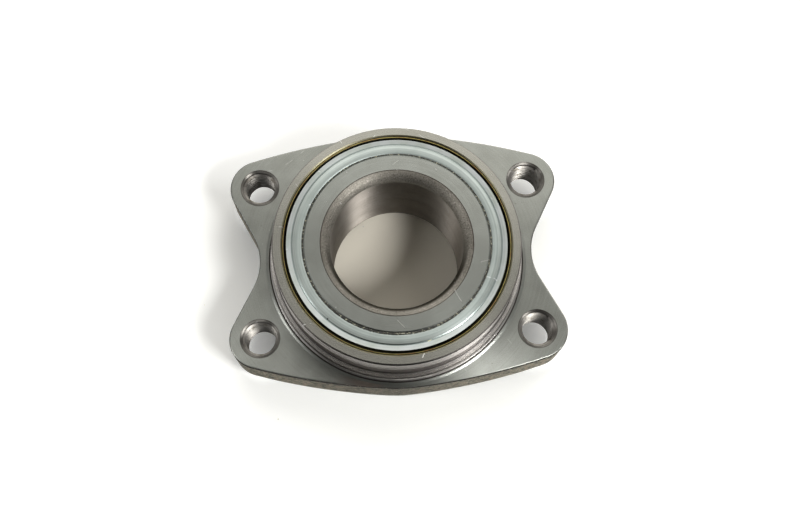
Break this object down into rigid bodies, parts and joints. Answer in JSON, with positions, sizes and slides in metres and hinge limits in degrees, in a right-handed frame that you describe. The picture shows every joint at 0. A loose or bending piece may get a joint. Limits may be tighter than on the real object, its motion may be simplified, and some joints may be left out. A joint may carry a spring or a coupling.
{
  "type": "wheel hub bearing",
  "caption": "Flanged double-row angular contact ball bearing for a wheel hub: outer ring with a bolt flange and pilot, split inner ring, caged balls and sheet-metal seals.",
  "frame": {"origin": "centre of the rear inner ring's end face, on the bearing axis and the lowest plane", "axes": "+Z along the bearing axis, from the rear end face to the front (pilot) side; +X along the flange's longer bolt spacing"},
  "size_m": [0.1162, 0.093, 0.037],
  "materials": {
    "outer_ring_steel": "satin",
    "inner_ring_steel": "satin",
    "slinger_steel": "gloss",
    "gold_plated_sheet": "gloss",
    "seal_rubber": "matte",
    "cage_nylon": "matte",
    "ball_steel": "polished",
    "spring_steel": "satin"
  },
  "bodies": {
    "outer": {"outer_ring": "outer_ring_steel", "front_seal_case": "gold_plated_sheet", "front_seal_lip": "seal_rubber", "rear_seal_case": "gold_plated_sheet", "rear_seal_lip": "seal_rubber"},
    "inner": {"front_inner_ring": "inner_ring_steel", "rear_inner_ring": "inner_ring_steel", "inner_ring_clip": "spring_steel", "front_slinger": "slinger_steel", "rear_slinger": "slinger_steel"},
    "front_cage": {"front_cage": "cage_nylon"},
    "rear_cage": {"rear_cage": "cage_nylon"},
    "front_ball_01": {"front_ball_01": "ball_steel"},
    "front_ball_02": {"front_ball_02": "ball_steel"},
    "front_ball_03": {"front_ball_03": "ball_steel"},
    "front_ball_04": {"front_ball_04": "ball_steel"},
    "front_ball_05": {"front_ball_05": "ball_steel"},
    "front_ball_06": {"front_ball_06": "ball_steel"},
    "front_ball_07": {"front_ball_07": "ball_steel"},
    "front_ball_08": {"front_ball_08": "ball_steel"},
    "front_ball_09": {"front_ball_09": "ball_steel"},
    "front_ball_10": {"front_ball_10": "ball_steel"},
    "front_ball_11": {"front_ball_11": "ball_steel"},
    "front_ball_12": {"front_ball_12": "ball_steel"},
    "front_ball_13": {"front_ball_13": "ball_steel"},
    "front_ball_14": {"front_ball_14": "ball_steel"},
    "rear_ball_01": {"rear_ball_01": "ball_steel"},
    "rear_ball_02": {"rear_ball_02": "ball_steel"},
    "rear_ball_03": {"rear_ball_03": "ball_steel"},
    "rear_ball_04": {"rear_ball_04": "ball_steel"},
    "rear_ball_05": {"rear_ball_05": "ball_steel"},
    "rear_ball_06": {"rear_ball_06": "ball_steel"},
    "rear_ball_07": {"rear_ball_07": "ball_steel"},
    "rear_ball_08": {"rear_ball_08": "ball_steel"},
    "rear_ball_09": {"rear_ball_09": "ball_steel"},
    "rear_ball_10": {"rear_ball_10": "ball_steel"},
    "rear_ball_11": {"rear_ball_11": "ball_steel"},
    "rear_ball_12": {"rear_ball_12": "ball_steel"},
    "rear_ball_13": {"rear_ball_13": "ball_steel"},
    "rear_ball_14": {"rear_ball_14": "ball_steel"}
  },
  "joints": [
    {"name": "inner_ring_spin", "type": "hinge", "parent": "outer", "child": "inner", "pos_m": [0, 0, 0.0185], "axis": [0, 0, 1], "continuous": true},
    {"name": "front_cage_turn", "type": "hinge", "parent": "outer", "child": "front_cage", "pos_m": [0, 0, 0.0256], "axis": [0, 0, 1], "continuous": true},
    {"name": "rear_cage_turn", "type": "hinge", "parent": "outer", "child": "rear_cage", "pos_m": [0, 0, 0.0114], "axis": [0, 0, 1], "continuous": true},
    {"name": "front_ball_01_spin", "type": "hinge", "parent": "front_cage", "child": "front_ball_01", "pos_m": [0.03254, 0, 0.0256], "axis": [0.5736, 0, 0.8192], "continuous": true},
    {"name": "front_ball_02_spin", "type": "hinge", "parent": "front_cage", "child": "front_ball_02", "pos_m": [0.02931, 0.01412, 0.0256], "axis": [0.5168, 0.2489, 0.8192], "continuous": true},
    {"name": "front_ball_03_spin", "type": "hinge", "parent": "front_cage", "child": "front_ball_03", "pos_m": [0.02029, 0.02544, 0.0256], "axis": [0.3576, 0.4484, 0.8192], "continuous": true},
    {"name": "front_ball_04_spin", "type": "hinge", "parent": "front_cage", "child": "front_ball_04", "pos_m": [0.00724, 0.03172, 0.0256], "axis": [0.1276, 0.5592, 0.8192], "continuous": true},
    {"name": "front_ball_05_spin", "type": "hinge", "parent": "front_cage", "child": "front_ball_05", "pos_m": [-0.00724, 0.03172, 0.0256], "axis": [-0.1276, 0.5592, 0.8192], "continuous": true},
    {"name": "front_ball_06_spin", "type": "hinge", "parent": "front_cage", "child": "front_ball_06", "pos_m": [-0.02029, 0.02544, 0.0256], "axis": [-0.3576, 0.4484, 0.8192], "continuous": true},
    {"name": "front_ball_07_spin", "type": "hinge", "parent": "front_cage", "child": "front_ball_07", "pos_m": [-0.02931, 0.01412, 0.0256], "axis": [-0.5168, 0.2489, 0.8192], "continuous": true},
    {"name": "front_ball_08_spin", "type": "hinge", "parent": "front_cage", "child": "front_ball_08", "pos_m": [-0.03254, 0, 0.0256], "axis": [-0.5736, 0, 0.8192], "continuous": true},
    {"name": "front_ball_09_spin", "type": "hinge", "parent": "front_cage", "child": "front_ball_09", "pos_m": [-0.02931, -0.01412, 0.0256], "axis": [-0.5168, -0.2489, 0.8192], "continuous": true},
    {"name": "front_ball_10_spin", "type": "hinge", "parent": "front_cage", "child": "front_ball_10", "pos_m": [-0.02029, -0.02544, 0.0256], "axis": [-0.3576, -0.4484, 0.8192], "continuous": true},
    {"name": "front_ball_11_spin", "type": "hinge", "parent": "front_cage", "child": "front_ball_11", "pos_m": [-0.00724, -0.03172, 0.0256], "axis": [-0.1276, -0.5592, 0.8192], "continuous": true},
    {"name": "front_ball_12_spin", "type": "hinge", "parent": "front_cage", "child": "front_ball_12", "pos_m": [0.00724, -0.03172, 0.0256], "axis": [0.1276, -0.5592, 0.8192], "continuous": true},
    {"name": "front_ball_13_spin", "type": "hinge", "parent": "front_cage", "child": "front_ball_13", "pos_m": [0.02029, -0.02544, 0.0256], "axis": [0.3576, -0.4484, 0.8192], "continuous": true},
    {"name": "front_ball_14_spin", "type": "hinge", "parent": "front_cage", "child": "front_ball_14", "pos_m": [0.02931, -0.01412, 0.0256], "axis": [0.5168, -0.2489, 0.8192], "continuous": true},
    {"name": "rear_ball_01_spin", "type": "hinge", "parent": "rear_cage", "child": "rear_ball_01", "pos_m": [0.03172, 0.00724, 0.0114], "axis": [-0.5592, -0.1276, 0.8192], "continuous": true},
    {"name": "rear_ball_02_spin", "type": "hinge", "parent": "rear_cage", "child": "rear_ball_02", "pos_m": [0.02544, 0.02029, 0.0114], "axis": [-0.4484, -0.3576, 0.8192], "continuous": true},
    {"name": "rear_ball_03_spin", "type": "hinge", "parent": "rear_cage", "child": "rear_ball_03", "pos_m": [0.01412, 0.02931, 0.0114], "axis": [-0.2489, -0.5168, 0.8192], "continuous": true},
    {"name": "rear_ball_04_spin", "type": "hinge", "parent": "rear_cage", "child": "rear_ball_04", "pos_m": [0, 0.03254, 0.0114], "axis": [0, -0.5736, 0.8192], "continuous": true},
    {"name": "rear_ball_05_spin", "type": "hinge", "parent": "rear_cage", "child": "rear_ball_05", "pos_m": [-0.01412, 0.02931, 0.0114], "axis": [0.2489, -0.5168, 0.8192], "continuous": true},
    {"name": "rear_ball_06_spin", "type": "hinge", "parent": "rear_cage", "child": "rear_ball_06", "pos_m": [-0.02544, 0.02029, 0.0114], "axis": [0.4484, -0.3576, 0.8192], "continuous": true},
    {"name": "rear_ball_07_spin", "type": "hinge", "parent": "rear_cage", "child": "rear_ball_07", "pos_m": [-0.03172, 0.00724, 0.0114], "axis": [0.5592, -0.1276, 0.8192], "continuous": true},
    {"name": "rear_ball_08_spin", "type": "hinge", "parent": "rear_cage", "child": "rear_ball_08", "pos_m": [-0.03172, -0.00724, 0.0114], "axis": [0.5592, 0.1276, 0.8192], "continuous": true},
    {"name": "rear_ball_09_spin", "type": "hinge", "parent": "rear_cage", "child": "rear_ball_09", "pos_m": [-0.02544, -0.02029, 0.0114], "axis": [0.4484, 0.3576, 0.8192], "continuous": true},
    {"name": "rear_ball_10_spin", "type": "hinge", "parent": "rear_cage", "child": "rear_ball_10", "pos_m": [-0.01412, -0.02931, 0.0114], "axis": [0.2489, 0.5168, 0.8192], "continuous": true},
    {"name": "rear_ball_11_spin", "type": "hinge", "parent": "rear_cage", "child": "rear_ball_11", "pos_m": [0, -0.03254, 0.0114], "axis": [0, 0.5736, 0.8192], "continuous": true},
    {"name": "rear_ball_12_spin", "type": "hinge", "parent": "rear_cage", "child": "rear_ball_12", "pos_m": [0.01412, -0.02931, 0.0114], "axis": [-0.2489, 0.5168, 0.8192], "continuous": true},
    {"name": "rear_ball_13_spin", "type": "hinge", "parent": "rear_cage", "child": "rear_ball_13", "pos_m": [0.02544, -0.02029, 0.0114], "axis": [-0.4484, 0.3576, 0.8192], "continuous": true},
    {"name": "rear_ball_14_spin", "type": "hinge", "parent": "rear_cage", "child": "rear_ball_14", "pos_m": [0.03172, -0.00724, 0.0114], "axis": [-0.5592, 0.1276, 0.8192], "continuous": true}
  ],
  "couplings": [
    {"joint": "front_cage_turn", "follows": "inner_ring_spin", "ratio": 0.43006},
    {"joint": "rear_cage_turn", "follows": "inner_ring_spin", "ratio": 0.43006},
    {"joint": "front_ball_01_spin", "follows": "inner_ring_spin", "ratio": -2.8708},
    {"joint": "front_ball_02_spin", "follows": "inner_ring_spin", "ratio": -2.8708},
    {"joint": "front_ball_03_spin", "follows": "inner_ring_spin", "ratio": -2.8708},
    {"joint": "front_ball_04_spin", "follows": "inner_ring_spin", "ratio": -2.8708},
    {"joint": "front_ball_05_spin", "follows": "inner_ring_spin", "ratio": -2.8708},
    {"joint": "front_ball_06_spin", "follows": "inner_ring_spin", "ratio": -2.8708},
    {"joint": "front_ball_07_spin", "follows": "inner_ring_spin", "ratio": -2.8708},
    {"joint": "front_ball_08_spin", "follows": "inner_ring_spin", "ratio": -2.8708},
    {"joint": "front_ball_09_spin", "follows": "inner_ring_spin", "ratio": -2.8708},
    {"joint": "front_ball_10_spin", "follows": "inner_ring_spin", "ratio": -2.8708},
    {"joint": "front_ball_11_spin", "follows": "inner_ring_spin", "ratio": -2.8708},
    {"joint": "front_ball_12_spin", "follows": "inner_ring_spin", "ratio": -2.8708},
    {"joint": "front_ball_13_spin", "follows": "inner_ring_spin", "ratio": -2.8708},
    {"joint": "front_ball_14_spin", "follows": "inner_ring_spin", "ratio": -2.8708},
    {"joint": "rear_ball_01_spin", "follows": "inner_ring_spin", "ratio": -2.8708},
    {"joint": "rear_ball_02_spin", "follows": "inner_ring_spin", "ratio": -2.8708},
    {"joint": "rear_ball_03_spin", "follows": "inner_ring_spin", "ratio": -2.8708},
    {"joint": "rear_ball_04_spin", "follows": "inner_ring_spin", "ratio": -2.8708},
    {"joint": "rear_ball_05_spin", "follows": "inner_ring_spin", "ratio": -2.8708},
    {"joint": "rear_ball_06_spin", "follows": "inner_ring_spin", "ratio": -2.8708},
    {"joint": "rear_ball_07_spin", "follows": "inner_ring_spin", "ratio": -2.8708},
    {"joint": "rear_ball_08_spin", "follows": "inner_ring_spin", "ratio": -2.8708},
    {"joint": "rear_ball_09_spin", "follows": "inner_ring_spin", "ratio": -2.8708},
    {"joint": "rear_ball_10_spin", "follows": "inner_ring_spin", "ratio": -2.8708},
    {"joint": "rear_ball_11_spin", "follows": "inner_ring_spin", "ratio": -2.8708},
    {"joint": "rear_ball_12_spin", "follows": "inner_ring_spin", "ratio": -2.8708},
    {"joint": "rear_ball_13_spin", "follows": "inner_ring_spin", "ratio": -2.8708},
    {"joint": "rear_ball_14_spin", "follows": "inner_ring_spin", "ratio": -2.8708}
  ]
}
